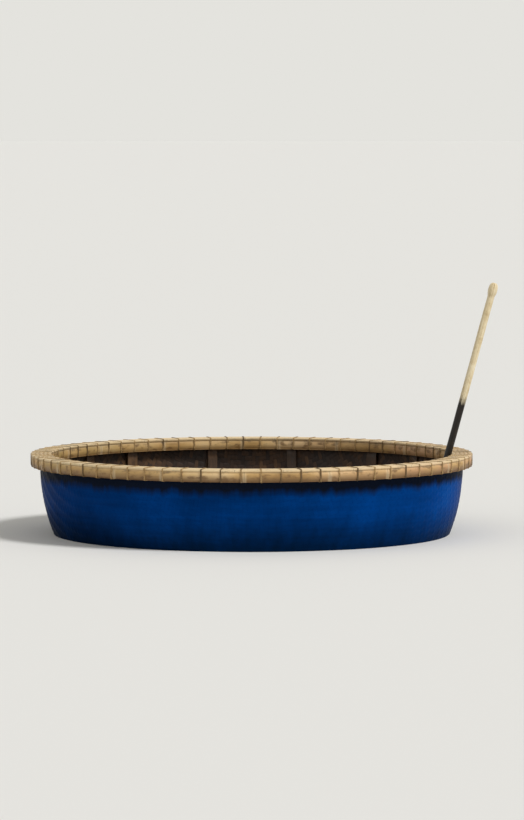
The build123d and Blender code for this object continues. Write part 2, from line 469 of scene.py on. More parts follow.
def tarredWeave():
    # bamboo mat sealed with tar and resin: dark brown, half glossy, dusty where feet stand
    material, add = newMaterial('tarredWovenBamboo')
    height, tone, grain = wovenStrips(add)
    place = add('TexCoord', out='Object')
    up = add('SeparateXYZ', (place,), 'Z')
    patches = add('TexNoise', {'Vector': place, 'Scale': 5.0, 'Detail': 6.0, 'Roughness': 0.65})
    shade = add('Mix', (0.35, tone, grain))
    shade = add('Mix', (0.5, shade, patches))
    colour = add('ValToRGB', (shade,), stops=[
        (0.25, '#1A110A'), (0.45, '#33231A'), (0.6, '#4A3423'), (0.8, '#6B4E33')])
    low = add('MapRange', (height, 0.0, 0.6, 0.85, 0.0))
    foot = add('MapRange', (up, 0.07, 0.02))
    dust = add('MapRange', (patches, 0.42, 0.66, 0.0, 0.55))
    dust = add('Math', (foot, dust), operation='MULTIPLY')
    colour = coated(add, colour, (low, '#0D0805'), (dust, '#84705A'))
    rough = add('MapRange', (patches, 0.0, 1.0, 0.32, 0.7))
    relief = add('Math', (grain, 0.12, height), operation='MULTIPLY_ADD')
    return surfaced(material, add, colour, rough, relief, 0.8, 0.0012, gloss=0.35)


def splitBamboo(name, look):
    # bamboo lath: fine straight fibres, a ring at each joint of the cane, tone changes from cane to cane
    material, add = newMaterial(name)
    grainPlace = add('UVMap', uv_map='grain')
    along = add('SeparateXYZ', (grainPlace,), 'X')
    across = along.node.outputs['Y']
    cane = add('Math', (across, 0.1), operation='DIVIDE')
    cane = add('Math', (cane,), operation='FLOOR')
    place = add('TexCoord', out='Object')
    side = add('SeparateXYZ', (place,), 'X')
    # fibres are 0.4 mm apart on real cane and drawn at about 1.5 mm, so that they show
    fibre = stretched(add, grainPlace, (7, 650, 1), 3.0, 0.6)
    tones = add('Math', (cane, 7.3), operation='MULTIPLY')
    tones = add('Math', (along, look["toneScale"], tones), operation='MULTIPLY_ADD')
    tones = add('TexNoise', {'W': tones, 'Scale': 1.0, 'Detail': 2.0}, noise_dimensions='1D')
    blotch = add('TexNoise', {'Vector': place, 'Scale': 24.0, 'Detail': 6.0, 'Roughness': 0.7})
    shade = add('Mix', (0.42, tones, fibre))
    shade = add('Mix', (0.22, shade, blotch))
    colour = add('ValToRGB', (shade,), stops=look["tones"])
    for low, high, tint, share in look["tints"]:
        near = add('MapRange', (side, low, high))
        spots = add('MapRange', (tones, 0.40, 0.56, 0.0, share))
        spots = add('Math', (near, spots), operation='MULTIPLY')
        colour = coated(add, colour, (spots, tint))
    # brown water stains about a finger long, and painted shade along a band's lower edge, which faces down
    # away from the light
    stain = stretched(add, grainPlace, (19, 38, 1), 3.0, 0.55)
    stain = add('MapRange', (stain, 0.54, 0.66, 0.0, look["stain"]))
    edge = add('Math', (across, 0.1), operation='FLOORED_MODULO')
    edge = add('MapRange', (edge, 0.025, 0.053, 0.0, look["lowerEdgeShade"]))
    # what lies uppermost is paler, partly bleached by the sun and rubbed by hands and partly a painted
    # highlight where the top faces the light
    bleachAndHighlight = add('MapRange', (side.node.outputs['Z'], 0.538, 0.554, 0.0, look["topBleachAndHighlight"]))
    # the joint of the cane: a dark ring beside a pale raised one
    ring = add('Math', (cane, 3.37), operation='MULTIPLY')
    ring = add('Math', (along, 1 / look["ringSpacing"], ring), operation='MULTIPLY_ADD')
    ring = add('TexVoronoi', {'W': ring, 'Scale': 1.0, 'Randomness': look["ringJitter"]}, 'Distance',
               voronoi_dimensions='1D')
    width = 0.012 / look["ringSpacing"]
    raised = add('MapRange', (ring, width, width * 0.2))
    dark = add('MapRange', (ring, width * 0.19, width * 0.05, 0.0, look["ringDark"]))
    pale = add('Math', (raised, look["ringPale"]), operation='MULTIPLY')
    grime = add('MapRange', (blotch, 0.56, 0.72, 0.0, look["grime"]))
    colour = coated(
        add, colour, (stain, look["stainAndShadeTone"]), (edge, look["stainAndShadeTone"]), (bleachAndHighlight, look["paleTone"]),
        (pale, look["paleTone"]), (dark, look["darkTone"]), (grime, look["grimeTone"]))
    rough = add('MapRange', (blotch, 0.3, 0.7, *look["rough"]))
    relief = add('Math', (raised, 2.5, fibre), operation='MULTIPLY_ADD')
    return surfaced(material, add, colour, rough, relief, 0.6, 0.0006)


def weatheredTimber():
    # sawn softwood board gone grey-brown: open straight grain, dirt worked into it, fine dark cracks
    material, add = newMaterial('weatheredSawnTimber')
    place = add('TexCoord', out='Object')
    # growth rings show as bands 8 to 16 mm wide, and fibres are drawn at 2 mm so that they show
    band = stretched(add, place, (1.5, 62, 110), 4.0, 0.6, 0.4)
    fibre = stretched(add, place, (9, 480, 480), 4.0, 0.65)
    blotch = add('TexNoise', {'Vector': place, 'Scale': 9.0, 'Detail': 5.0, 'Roughness': 0.65})
    shade = add('Mix', (0.45, band, fibre))
    shade = add('Mix', (0.25, shade, blotch))
    colour = add('ValToRGB', (shade,), stops=[
        (0.34, '#3B2F25'), (0.46, '#66543F'), (0.56, '#8C7558'), (0.7, '#A9967A')])
    crack = stretched(add, place, (3.2, 230, 230), 2.0)
    crack = add('MapRange', (crack, 0.33, 0.28, 0.0, 0.9))
    colour = coated(add, colour, (crack, '#231A13'))
    rough = add('MapRange', (blotch, 0.0, 1.0, 0.62, 0.88))
    relief = add('Math', (band, 0.7, fibre), operation='MULTIPLY_ADD')
    relief = add('Math', (crack, -1.2, relief), operation='MULTIPLY_ADD')
    return surfaced(material, add, colour, rough, relief, 0.7, 0.0009, ior=1.45)


def twistedCord(name, tones, strands):
    # laid cord stiff with tar: twisted strands, matt, frayed paler on their crests
    material, add = newMaterial(name)
    along = add('SeparateXYZ', (add('UVMap', uv_map='UVMap'),), 'X')
    lay = add('Math', (along, strands, along.node.outputs['Y']), operation='MULTIPLY_ADD')
    lay = add('Math', (lay, 6 * pi), operation='MULTIPLY')
    lay = add('Math', (lay,), operation='SINE')
    lay = add('MapRange', (lay, -1.0))
    place = add('TexCoord', out='Object')
    fluff = add('TexNoise', {'Vector': place, 'Scale': 190.0, 'Detail': 3.0})
    shade = add('Mix', (0.5, lay, fluff))
    colour = add('ValToRGB', (shade,), stops=tones)
    # some lengths are newer and paler, some are soaked with tar
    soak = add('TexNoise', {'Vector': place, 'Scale': 7.0, 'Detail': 1.0})
    soak = add('MapRange', (soak, 0.50, 0.62, 0.0, 0.7))
    colour = coated(add, colour, (soak, '#3A2717'))
    return surfaced(material, add, colour, 0.82, shade, 0.7, 0.0006, ior=1.45)


def scrubbedPaddleWood():
    # paddle wood: scrubbed pale and dry where it is held, dark and wet-stained where it works in water
    material, add = newMaterial('scrubbedPaddleWood')
    grainPlace = add('UVMap', uv_map='grain')
    along = add('SeparateXYZ', (grainPlace,), 'X')
    place = add('TexCoord', out='Object')
    fibre = stretched(add, grainPlace, (6, 520, 1), 4.0, 0.6)
    blotch = add('TexNoise', {'Vector': place, 'Scale': 22.0, 'Detail': 5.0, 'Roughness': 0.6})
    shade = add('Mix', (0.45, fibre, blotch))
    dry = add('ValToRGB', (shade,), stops=[
        (0.34, '#A98F66'), (0.45, '#D9C59C'), (0.56, '#EBDDBC'), (0.7, '#F3EAD2')])
    wet = add('ValToRGB', (shade,), stops=[(0.34, '#0D0B0A'), (0.5, '#1B1613'), (0.68, '#33291F')])
    line = add('Math', (shade, 0.16, along), operation='MULTIPLY_ADD')
    line = add('MapRange', (line, paddle["wetLength"] + 0.06, paddle["wetLength"] + 0.10))
    colour = coated(add, wet, (line, dry))
    rough = add('Mix', (line, 0.36, 0.62))
    return surfaced(material, add, colour, rough, fibre, 0.5, 0.0006, gloss=0.3)


# bowl: one skin, blue outside and tarred inside
skin = weaveBowl()
skin.data.materials.append(enamelOnWeave())
skin.data.materials.append(tarredWeave())
bowlMiddle = Vector((0, 0, 0.75))
for face in skin.data.polygons:
    face.material_index = int(face.normal.dot(face.center - bowlMiddle) < 0)
settle(skin, 'boat', 'painted_weave', ['hull_skin'], None)
print("skin woven")

# rim: face bands and packed splints each side of the skin, flat splints on top
rim = {
    "bandHeight": 0.042,
    "hoopThickness": 0.0384,
    "hoopRise": 0.002,
    "gap": 0.0003,
    "bandThickness": 0.0135,
    "coreCount": 2,
    "coreGap": 0.0004,       # on each side of a packed splint
    "coreSink": 0.001,       # from the band's top down to theirs
    "coreDrop": 0.004,       # most that a packed splint's lower edge lies above the band's
    "bulge": 0.0042,         # the cane's own round on the face of a band
    "splintCount": 5,
    "splintThickness": 0.009,
    "splintGap": 0.0015,
    "crown": 0.0026,         # how far a splint's edges lie below its middle
    "cornerRadius": 0.0022,
    "scarfLength": 0.060,
    "scarfGap": 0.0024,
    "scarfTurn": 77.0,
    "turnSteps": 216,
    "wander": 0.0011,
    "wanderScale": 0.19,
}
bandLow = hull["seatHeight"] + rim["hoopRise"]
bandTop = bandLow + rim["bandHeight"]
rimOutside = skinOutside + rim["gap"] + rim["hoopThickness"]
rimInside = skinInside - rim["gap"] - rim["hoopThickness"]
rimTop = bandTop + rim["gap"] + rim["splintThickness"]


def bendHoop(name, inner, outer, low, high, joint, number, bulge=0, lift=0, wander=0):
    # one lath bent round to a hoop: a section with soft corners, spun round, its two ends cut on a slant
    width, height, hair = outer - inner, high - low, 1e-5
    middle = ((inner + outer) / 2, 0, (low + high) / 2)
    bpy.ops.mesh.primitive_plane_add(size=1, location=middle, rotation=(pi / 2, 0, 0), enter_editmode=True)
    lath = current(name)
    selectAll()
    bpy.ops.transform.resize(value=(width, 1, height), center_override=middle)
    bpy.ops.mesh.bevel(offset=rim["cornerRadius"], segments=2, affect='VERTICES')
    for sideX, sideZ, count in ((1, 0, 3), (-1, 0, 3), (0, 1, 3)):
        edge = (middle[0] + sideX * width / 2, middle[2] + sideZ * height / 2)
        pick(lath, lambda at, _: abs((at.x - edge[0]) * sideX) + abs((at.z - edge[1]) * sideZ) < hair, 'EDGE')
        bpy.ops.mesh.subdivide(number_cuts=count)
    enter('OBJECT')
    for vertex in lath.data.vertices:
        # the round of the cane's skin on a face, or the crown of a splint
        x, _, z = vertex.co
        swell = max(0.0, 1 - ((z - middle[2]) / (height / 2)) ** 2)
        crown = max(0.0, 1 - ((x - middle[0]) / (width / 2)) ** 2)
        side = 1 if x > middle[0] else -1
        if side * bulge > 0 and abs(abs(x - middle[0]) - width / 2) < hair:
            x -= bulge * (1 - swell)
        if z > high - hair:
            z -= lift * (1 - crown)
        # the slanting end: the section runs forward along the hoop as it comes in
        turn = (middle[0] - x) / width * rim["scarfLength"] / x
        vertex.co = (x * cos(turn), x * sin(turn), z)
    enter('EDIT')
    selectAll()
    gap = rim["scarfGap"] / middle[0]
    bpy.ops.mesh.spin(steps=rim["turnSteps"], angle=2 * pi - gap, center=(0, 0, 0), axis=(0, 0, 1))
    selectAll()
    bpy.ops.mesh.remove_doubles(threshold=1e-6)
    bpy.ops.mesh.normals_make_consistent(inside=False)
    enter('OBJECT')
    begin = radians(joint)
    lath.data.transform(Matrix.Rotation(begin, 4, 'Z'))

    def rule(place, centre):
        seam = (atan2(centre.y, centre.x) - begin) % (2 * pi)
        turn = unrolled(atan2(place.y, place.x) - begin, seam)
        radius = hypot(place.x, place.y)
        return (turn * middle[0], number * 0.1 + 0.004 + (radius - inner) + (high - place.z))

    mapGrain(lath, rule)
    waver(lath, wander, rim["wanderScale"], number)
    return lath


caneLook = {
    "toneScale": 3.1,       # changes of tone in a metre of cane
    "tones": [(0.30, '#93703F'), (0.42, '#BC955A'), (0.52, '#D2AE74'), (0.66, '#E4C595')],
    "tints": [(-0.30, -0.90, '#8A6F28', 0.7), (0.05, 0.70, '#B98263', 0.5)],
    "stain": 0.8,
    "stainAndShadeTone": '#6E4F2B',
    "lowerEdgeShade": 0.95,
    "topBleachAndHighlight": 0.65,
    "ringSpacing": 0.31,
    "ringJitter": 0.7,
    "ringDark": 0.5,
    "ringPale": 0.35,
    "paleTone": '#EBD6AE',
    "darkTone": '#6B4E2A',
    "grime": 0.55,
    "grimeTone": '#6A5230',
    "rough": (0.42, 0.68),
}
wornCane = splitBamboo('wornYellowSplitBamboo', caneLook)
for side, inner, outer, joint, nodes in (
        ('outer', skinOutside + rim["gap"], rimOutside, rim["scarfTurn"], 'rim_outer_hoop'),
        ('inner', rimInside, skinInside - rim["gap"], -rim["scarfTurn"], 'rim_inner_hoop')):
    out = side == 'outer'
    band = rim["bandThickness"]
    face = (outer - band, outer) if out else (inner, inner + band)
    core = (inner, outer - band) if out else (inner + band, outer)
    number = 11 if out else 21
    lath = bendHoop(f'{side}FaceBand', *face, bandLow, bandTop, joint, number,
                    bulge=rim["bulge"] if out else -rim["bulge"])
    settle(lath, 'boat', 'rim_bamboo', [nodes], wornCane)
    pitch = (core[1] - core[0]) / rim["coreCount"]
    for i in range(rim["coreCount"]):
        low = core[0] + i * pitch
        lath = bendHoop(f'{side}PackedSplint{i + 1}', low + rim["coreGap"], low + pitch - rim["coreGap"],
                        bandLow + rim["coreDrop"] * (0.4 + 0.6 * i), bandTop - rim["coreSink"],
                        joint + 40 + 55 * i, number + 1 + i)
        settle(lath, 'boat', 'rim_bamboo', [nodes], wornCane)
splintPitch = (rimOutside - rimInside + rim["splintGap"]) / rim["splintCount"]
for i in range(rim["splintCount"]):
    low = rimInside + i * splintPitch
    edge = i in (0, rim["splintCount"] - 1)
    lath = bendHoop(f'topSplint{i + 1}', low, low + splintPitch - rim["splintGap"], bandTop + rim["gap"],
                    rimTop, rim["scarfTurn"] * (i + 2), i + 1, lift=rim["crown"],
                    wander=0 if edge else rim["wander"])
    settle(lath, 'boat', 'rim_bamboo', [f'rim_splint_{i + 1}'], wornCane)
print("rim bent")

# lashings: one cord wound three times through the skin and round the rim, at every hand's breadth
lashing = {
    "count": 72,
    "start": 2.5,          # degrees round to the first one
    "cord": 0.0023,
    "turns": 3,
    "spread": 0.0052,      # from the first turn to the last
    "clear": 0.0003,
    "skinGap": 0.0005,     # from the skin to where the cord enters and leaves it
    "cornerRound": 0.0026,
    "tilt": 4.0,           # most that one leans, in degrees
}


def windCord(name, points, thickness, detail=2, sides=1):
    # a cord along the points, round and capped, as a mesh
    bpy.ops.curve.primitive_nurbs_path_add()
    cord = bpy.context.object
    cord.name = cord.data.name = name
    line = cord.data
    line.splines.clear()
    spline = line.splines.new('NURBS')
    spline.points.add(len(points) - 1)
    for point, place in zip(spline.points, points):
        point.co = (*place, 1)
    spline.order_u = 3
    spline.use_endpoint_u = True
    line.resolution_u = detail
    line.bevel_depth = thickness / 2
    line.bevel_resolution = sides
    line.use_fill_caps = True
    bpy.ops.object.convert(target='MESH')
    return bpy.context.object


def cornersSoftened(corners, reach):
    # each corner of a path gives way to two points, one before it and one after it
    points = [corners[0]]
    for before, corner, after in zip(corners, corners[1:], corners[2:]):
        points.append(corner + (before - corner).normalized() * reach)
        points.append(corner + (after - corner).normalized() * reach)
    return points + [corners[-1]]


def lashTurns(crossing):
    # the way of one lashing at the rim's +X side: in under the outer hoop, over the top, out inside
    half = lashing["cord"] / 2 + lashing["clear"]
    low, top = bandLow - half, rimTop + half
    outer, inner = rimOutside + half, rimInside - half
    start, end = skinOutside + lashing["skinGap"], skinInside - lashing["skinGap"]
    path = []
    for turn in range(lashing["turns"]):
        begin = -lashing["spread"] / 2 + lashing["spread"] * turn / (lashing["turns"] - 1)
        lean = lashing["spread"] * (0.25 if turn < lashing["turns"] - 1 else -0.8 * crossing)
        # radius, height, and the share of the lean that is reached at each corner
        corners = ((start, low, 0), (outer, low, 0.15), (outer, top, 0.35),
                   (inner, top, 0.65), (inner, low, 0.85), (end, low, 1))
        corners = [Vector((r, begin + lean * share, z)) for r, z, share in corners]
        path += cornersSoftened(corners, lashing["cornerRound"])
    return path


lashMaterial = twistedCord('brownTwistedCord', [
    (0.25, '#7A5A36'), (0.5, '#AC8855'), (0.75, '#D0B381')], 60)
patterns = [windCord(f'lashPattern{crossing}', lashTurns(crossing), lashing["cord"]) for crossing in (0, 1)]
middle = Vector(((rimInside + rimOutside) / 2, 0, (bandLow + rimTop) / 2))
copies = []
for i in range(lashing["count"]):
    angle = lashing["start"] + i * 360 / lashing["count"]
    drift = noise.noise(Vector((i * 1.7, 0.3, 4.1)))
    copy = copyOf(patterns[i % 3 == 1], f'lashing{i + 1}')
    tilt = Matrix.Translation(middle) @ Matrix.Rotation(radians(lashing["tilt"] * drift), 4, 'X')
    copy.data.transform(Matrix.Rotation(radians(angle), 4, 'Z') @ tilt @ Matrix.Translation(-middle))
    copies.append(copy)
for pattern in patterns:
    bpy.data.objects.remove(pattern)
settle(joined(copies, 'rimLashings'), 'boat', 'lashing_cord', ['rim_lashings'], lashMaterial, smooth=60)
print("rim lashed")

# ribs: split laths in two crossed layers, each cut from the smooth bowl and given its thickness
rib = {
    "count": 4,
    "spacing": 0.360,
    "width": 0.042,
    "thickness": 0.008,
    "top": 0.502,
    "gap": 0.0002,
    "edge": 0.0016,
    "sliver": 0.0012,
    "segments": 144,
    "ringSpacing": 0.026,
}


def layRib(name, sheet, place, alongX):
    # two upright planes trim a copy of the bowl to one lath
    lath = copyOf(sheet, name)
    enter('EDIT')
    across = Vector((0, 1, 0)) if alongX else Vector((1, 0, 0))
    for side in (-1, 1):
        sawOff(across * (place + side * rib["width"] / 2), across * side)
    # a cut that runs close beside a line of the bowl leaves slivers, which close up here
    pick(lath, lambda _, way: way.length < rib["sliver"], 'EDGE')
    bpy.ops.mesh.merge(type='COLLAPSE')
    finishWith(lath, 'SOLIDIFY', thickness=rib["thickness"], offset=1.0, use_even_offset=True)
    finishWith(lath, 'BEVEL', width=rib["edge"], segments=2, limit_method='ANGLE', angle_limit=radians(60))

    def rule(at, _):
        along, side = (at.x, at.y) if alongX else (at.y, at.x)
        rise = max(0.0, at.z - middleHeight)
        return (along + copysign(rise, along), side - place + 0.05 + 0.1 * number)

    number = round(abs(place) * 100) + 5 * alongX + (place > 0)
    middleHeight = min(vertex.co.z for vertex in lath.data.vertices) + 1.5 * rib["thickness"]
    mapGrain(lath, rule)
    return lath


ribLook = {
    "toneScale": 2.3,
    "tones": [(0.30, '#1E140C'), (0.44, '#3B2817'), (0.56, '#5A3F26'), (0.70, '#7D5C3A')],
    "tints": [],
    "stain": 0.5,
    "stainAndShadeTone": '#2A1B10',
    "lowerEdgeShade": 0.0,
    "topBleachAndHighlight": 0.0,
    "ringSpacing": 0.29,
    "ringJitter": 0.6,
    "ringDark": 0.8,
    "ringPale": 0.4,
    "paleTone": '#8A6A44',
    "darkTone": '#120B06',
    "grime": 0.6,
    "grimeTone": '#1A110A',
    "rough": (0.38, 0.7),
}
tarredCane = splitBamboo('tarredSplitBamboo', ribLook)
nearSkin = hull["thickness"] + rib["gap"]
for layer, alongX in (('long', True), ('cross', False)):
    sheet = bowlSheet(f'{layer}Layer', nearSkin, rib["top"], rib["segments"], rib["ringSpacing"])
    for i in range(rib["count"]):
        place = (i - (rib["count"] - 1) / 2) * rib["spacing"]
        lath = layRib(f'{layer}Rib{i + 1}', sheet, place, alongX)
        settle(lath, 'boat', 'rib_bamboo', [f'rib_{layer}_{i + 1}'], tarredCane)
    bpy.data.objects.remove(sheet)
    nearSkin += rib["thickness"] + rib["gap"]
print("ribs laid")

# thwart: two bamboo poles wedged across the bowl, a plank on them, cord round all three
thwart = {
    "centre": 0.140,
    "width": 0.220,
    "thickness": 0.025,
    "bottom": 0.3252,
    "fit": 0.9965,         # the plank's ends against the round that they are cut to
    "sawTurns": (2.5, 6.0, 9.5, 13.0, 16.5),
    "edge": 0.003,
    "dish": 0.0016,        # how deep its top is worn hollow
    "wear": 0.0006,        # how far its top is rubbed down all over
    "poleRadius": 0.020,
    "poleHeight": 0.305,
    "poleSides": 28,
    "endSlope": 12.0,      # degrees that a pole's end is cut off upright
    "nodeSpacing": 0.265,
    "nodeSwell": 1.055,
    "poleWall": 0.0065,
    "poleWander": 0.0012,
    "poleWanderScale": 0.33,
    "lashReach": 0.610,
    "cord": 0.0028,
    "turns": 8,
    "lashWidth": 0.0226,
}


def bambooPole(name, node, side, number):
    # a cane with swollen joints, cut to the bowl's slope and hollow at its ends
    low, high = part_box(node)
    end = high[0]
    slope = radians(thwart["endSlope"])
    thin = thwart["poleRadius"] / thwart["nodeSwell"]
    bpy.ops.mesh.primitive_cylinder_add(
        vertices=thwart["poleSides"], radius=thin, depth=2 * end + 0.02, end_fill_type='NGON',
        location=(0, side, thwart["poleHeight"]), rotation=(0, pi / 2, 0), enter_editmode=True)
    pole = current(name)
    centre = (0, side, thwart["poleHeight"])
    joints = []
    for k in range(-3, 4):
        at = (k + 0.5 * number) * thwart["nodeSpacing"] + 0.03 * noise.noise(Vector((k, number, 0.5)))
        if abs(at) < end - 0.05:
            joints.append(at)
    marks = sorted(at + d for at in joints for d in (-0.014, -0.006, -0.0025, 0.0005, 0.003, 0.010))
    fill = [x for x in steps(-end + 0.02, end - 0.02, 0.05) if all(abs(x - m) > 0.015 for m in marks)]
    cutAcross(sorted(marks + fill), 0)
    for at in joints:
        for d, swell in ((-0.006, 1.015), (-0.0025, thwart["nodeSwell"]), (0.0005, 1.008), (0.003, 1.03)):
            pick(pole, lambda co, _: abs(co.x - at - d) < 1e-4)
            bpy.ops.transform.resize(value=(1, swell, swell), center_override=(at + d, *centre[1:]))
    for way in (-1, 1):
        corner = Vector((way * (end - 0.0015), side, thwart["poleHeight"] + thwart["poleRadius"]))
        normal = Vector((way * cos(slope), 0, -sin(slope)))
        sawOff(corner, normal, fill=True)
        pick(pole, lambda at, n: n.dot(normal) > 0.9 and abs(at.x) > end - 0.1, 'FACE')
        bpy.ops.mesh.inset(thickness=thwart["poleWall"])
        bpy.ops.mesh.extrude_region_move(TRANSFORM_OT_translate={"value": (-way * 0.05, 0, 0)})
    enter('OBJECT')

    def rule(at, middle):
        i = min(max(bisect_left(joints, at.x), 1), len(joints) - 1)
        share = (at.x - joints[i - 1]) / (joints[i] - joints[i - 1])
        seam = atan2(middle.z - centre[2], middle.y - centre[1])
        turn = unrolled(atan2(at.z - centre[2], at.y - centre[1]), seam)
        return ((i - 1 + share) * poleLook["ringSpacing"], (turn + pi) * 0.0135 + 0.006 + 0.1 * number)

    mapGrain(pole, rule)
    waver(pole, thwart["poleWander"], thwart["poleWanderScale"], number + 30,
          lambda co: 1 - smoothStep(abs(co.x), 0.6, 0.8))
    return pole


poleLook = {
    "toneScale": 1.2,
    "tones": [(0.30, '#5C4A30'), (0.44, '#84704B'), (0.56, '#A08B62'), (0.70, '#B8A57D')],
    "tints": [(-1.5, -1.0, '#5D5A3A', 0.35)],
    "stain": 0.5,
    "stainAndShadeTone": '#5A452C',
    "lowerEdgeShade": 0.0,
    "topBleachAndHighlight": 0.0,
    "ringSpacing": 0.265,
    "ringJitter": 0.0,
    "ringDark": 0.8,
    "ringPale": 0.5,
    "paleTone": '#C9B88E',
    "darkTone": '#33271A',
    "grime": 0.7,
    "grimeTone": '#4A3A28',
    "rough": (0.36, 0.62),
}
greyCane = splitBamboo('weatheredBambooPole', poleLook)
reach = thwart["width"] / 2 - thwart["poleRadius"]
for number, name in enumerate(('front', 'back')):
    side = thwart["centre"] + (2 * number - 1) * reach
    pole = bambooPole(f'{name}Pole', f'thwart_pole_{name}', side, number)
    settle(pole, 'boat', 'pole_bamboo', [f'thwart_pole_{name}'], greyCane)


def sawPlank():
    # one board, its ends trimmed to the round of the ribs, its edges rubbed down
    low, high = (Vector(corner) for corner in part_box('thwart_plank'))
    size = high - low
    middle = (low + high) / 2
    bpy.ops.mesh.primitive_cube_add(size=1, location=middle, enter_editmode=True)
    plank = current('thwartPlank')
    selectAll()
    bpy.ops.transform.resize(value=size, center_override=middle)
    for way in (-1, 1):
        # the round of the bowl at the board's underside, as a few straight saw cuts
        radius = hypot(high.x, low.y) * thwart["fit"]
        for turn in thwart["sawTurns"]:
            angle = radians(turn)
            outward = Vector((way * cos(angle), sin(angle), 0))
            normal = Vector((outward.x, outward.y, -0.2)).normalized()
            sawOff(outward * radius + Vector((0, 0, high.z)), normal, fill=True)
    cutAcross(steps(low.x + 0.08, high.x - 0.08, 0.05), 0)
    cutAcross(steps(low.y + 0.03, high.y - 0.03, 0.04), 1)
    finishWith(
        plank, 'BEVEL', width=thwart["edge"], segments=3, limit_method='ANGLE', angle_limit=radians(40))
    # the upper edges are rubbed down, and the top is a little hollow where people sit
    for vertex in plank.data.vertices:
        if vertex.co.z > middle.z:
            seat = 1 - smoothStep(abs(vertex.co.x), 0.25, 0.60)
            dish = 1 - ((vertex.co.y - middle.y) / (size.y / 2)) ** 2
            vertex.co.z -= thwart["dish"] * seat * max(0.0, dish)
            vertex.co.z -= thwart["wear"] * (1 + noise.noise(vertex.co / 0.12))
    return plank


plank = sawPlank()
settle(plank, 'boat', 'plank_wood', ['thwart_plank'], weatheredTimber())


def thwartTurns(x):
    # over the board and under both poles, a turn at a time
    half = thwart["cord"] / 2 + lashing["clear"]
    left = thwart["centre"] - thwart["width"] / 2 - half
    right = thwart["centre"] + thwart["width"] / 2 + half
    top = thwart["bottom"] + thwart["thickness"] + half
    bend = thwart["poleRadius"] + half
    bottom = thwart["poleHeight"] - bend
    # under each pole the cord goes round two corners of an octagon
    bevel = bend * tan(radians(22.5))
    corners = [(left, top), (right, top), (right, bottom + bend - bevel), (right - bend + bevel, bottom),
               (left + bend - bevel, bottom), (left, bottom + bend - bevel)]
    path = []
    for turn in range(thwart["turns"]):
        for i, (y, z) in enumerate(corners):
            before, after = corners[i - 1], corners[(i + 1) % len(corners)]
            here = Vector((0, y, z))
            for other, lag in ((before, -0.2), (after, 0.2)):
                away = (Vector((0, *other)) - here)
                point = here + away.normalized() * min(0.005, away.length / 3)
                share = (turn + (i + lag) / len(corners)) / thwart["turns"]
                point.x = x + thwart["lashWidth"] * (share - 0.5)
                path.append(point)
    return path


cords = [windCord(f'thwartCord{i}', thwartTurns(x), thwart["cord"], 3)
         for i, x in enumerate((-thwart["lashReach"], thwart["lashReach"]))]
thwartLashings = joined(cords, 'thwartLashings')
seatCord = twistedCord('greyedTwistedCord', [(0.25, '#2B2018'), (0.5, '#4B3A2A'), (0.75, '#77634A')], 400)
settle(thwartLashings, 'boat', 'lashing_cord', ['thwart_lashings'], seatCord, smooth=60)
print("thwart built")

# paddle: made upright with its tip at the origin, then leaned on the rim where the solid leans
paddle = {
    "length": 1.250,
    "shaftRadius": 0.015,
    "shaftEndRadius": 0.0105,
    "shaftWander": 0.0009,
    "shaftWanderScale": 0.22,
    "slotClear": 0.0006,   # how much wider the slit is than the blade is thick
    "knobRadius": 0.020,
    "knobLength": 0.060,
    "bladeLength": 0.430,
    "bladeWidth": 0.125,
    "bladeThickness": 0.012,
    "bladeEdge": 0.0016,
    "bladeThin": 0.42,     # an edge's thickness, as a share of the middle's
    "tipRadius": 0.0635,
    "neckLength": 0.048,
    "neckWidth": 0.027,
    "shoulderLength": 0.062,
    "slotOverlap": 0.130,
    "bindingDrops": (0.038, 0.016),
    "bindingTurns": 5,
    "bindingCord": 0.0021,
    "place": (0.717617, -0.085, 0.0845603),
    "lean": 15.0725,       # degrees, about Y
    "wetLength": 0.73,     # from the tip to the edge of the dark stain
}


def turnShaft():
    # drawn up from its lower end ring by ring, knob and all, then slit for the blade
    slot = paddle["bladeLength"] - paddle["slotOverlap"]
    top, knob = paddle["length"], paddle["length"] - paddle["knobLength"]
    r, k, end = paddle["shaftRadius"], paddle["knobRadius"], paddle["shaftEndRadius"]
    bpy.ops.mesh.primitive_circle_add(
        vertices=32, radius=end, fill_type='NGON', location=(0, 0, slot), enter_editmode=True)
    shaft = current('paddleShaft')
    selectAll()
    rings = [(slot, end), (slot + 0.004, 0.0130), (slot + 0.018, 0.0146), (slot + 0.04, r)]
    rings += [(z, r) for z in steps(slot + 0.08, knob - 0.03, 0.045)]
    rings += [(knob - 0.012, r * 0.985), (knob, r)]
    for share, radius in ((0.10, r * 1.10), (0.22, k * 0.93), (0.34, k * 0.99), (0.45, k), (0.57, k * 0.99),
                          (0.70, k * 0.95), (0.81, k * 0.87), (0.89, k * 0.76), (0.95, k * 0.61),
                          (0.985, k * 0.45), (1.0, k * 0.28)):
        rings.append((knob + share * paddle["knobLength"], radius))
    for (z0, r0), (z1, r1) in zip(rings, rings[1:]):
        drawUp(bpy.ops.mesh.extrude_region_move, z0, z1, (r1 / r0, r1 / r0))
    selectAll()
    bpy.ops.mesh.normals_make_consistent(inside=False)
    choose(shaft)
    wide = paddle["bladeThickness"] + paddle["slotClear"]
    bpy.ops.mesh.primitive_cube_add(size=1, location=(0, 0, slot + paddle["slotOverlap"] / 2 - 0.01))
    cutter = bpy.context.object
    cutter.scale = (wide, 0.06, paddle["slotOverlap"] + 0.0206)
    finishWith(shaft, 'BOOLEAN', object=cutter, operation='DIFFERENCE', solver='EXACT')
    bpy.data.objects.remove(cutter)
    waver(shaft, paddle["shaftWander"], paddle["shaftWanderScale"], 41,
          lambda co: smoothStep(co.z, 0.5, 0.6) * (1 - smoothStep(co.z, 1.1, 1.2)))
    return shaft


